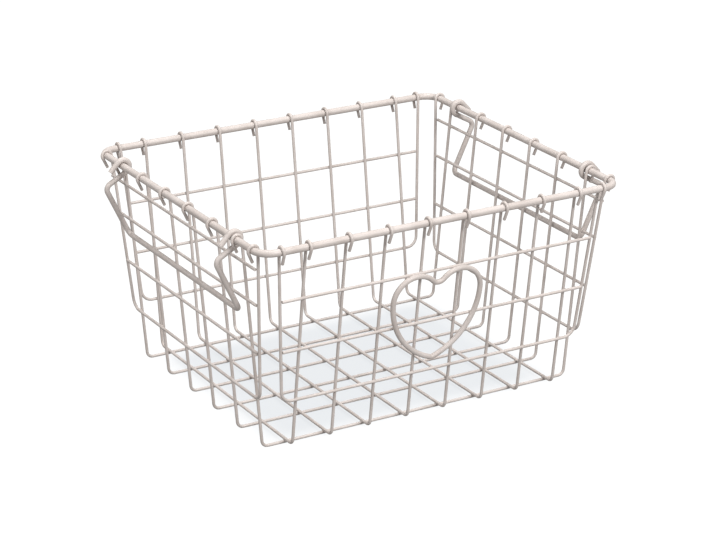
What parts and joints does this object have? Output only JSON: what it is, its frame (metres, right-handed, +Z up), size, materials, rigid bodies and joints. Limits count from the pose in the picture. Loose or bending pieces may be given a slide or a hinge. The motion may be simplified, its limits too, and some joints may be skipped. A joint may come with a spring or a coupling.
{
  "type": "wire locker basket",
  "caption": "Open wire basket with a thick rim, welded mesh walls and floor, swinging side handles and a wire heart on the front.",
  "frame": {"origin": "middle of the bounding box's bottom, on the ground the floor wires stand on", "axes": "+X along the long side, +Y towards the back wall (the heart faces -Y), +Z up"},
  "size_m": [0.4018, 0.329, 0.2065],
  "materials": {
    "rim_coat": "satin warm greige powder coat",
    "wire_coat": "satin warm greige powder coat",
    "handle_coat": "satin warm greige powder coat",
    "heart_coat": "satin warm greige powder coat"
  },
  "bodies": {
    "basket": {"rim": "rim_coat", "long_wire_1": "wire_coat", "long_wire_2": "wire_coat", "long_wire_3": "wire_coat", "long_wire_4": "wire_coat", "long_wire_5": "wire_coat", "long_wire_6": "wire_coat", "long_wire_7": "wire_coat", "long_wire_8": "wire_coat", "side_wire_1": "wire_coat", "side_wire_2": "wire_coat", "side_wire_3": "wire_coat", "side_wire_4": "wire_coat", "side_wire_5": "wire_coat", "side_wire_6": "wire_coat", "front_frame": "wire_coat", "back_frame": "wire_coat", "left_frame": "wire_coat", "right_frame": "wire_coat", "front_bar_1": "wire_coat", "front_bar_2": "wire_coat", "back_bar_1": "wire_coat", "back_bar_2": "wire_coat", "left_bar_1": "wire_coat", "left_bar_2": "wire_coat", "left_bar_3": "wire_coat", "right_bar_1": "wire_coat", "right_bar_2": "wire_coat", "right_bar_3": "wire_coat", "heart": "heart_coat"},
    "left_handle": {"left_handle": "handle_coat"},
    "right_handle": {"right_handle": "handle_coat"}
  },
  "joints": [
    {"name": "left_handle_swing", "type": "hinge", "parent": "basket", "child": "left_handle", "pos_m": [-0.182, 0, 0.198], "axis": [0, 1, 0], "range_deg": [0, 285]},
    {"name": "right_handle_swing", "type": "hinge", "parent": "basket", "child": "right_handle", "pos_m": [0.182, 0, 0.198], "axis": [0, -1, 0], "range_deg": [0, 285]}
  ]
}
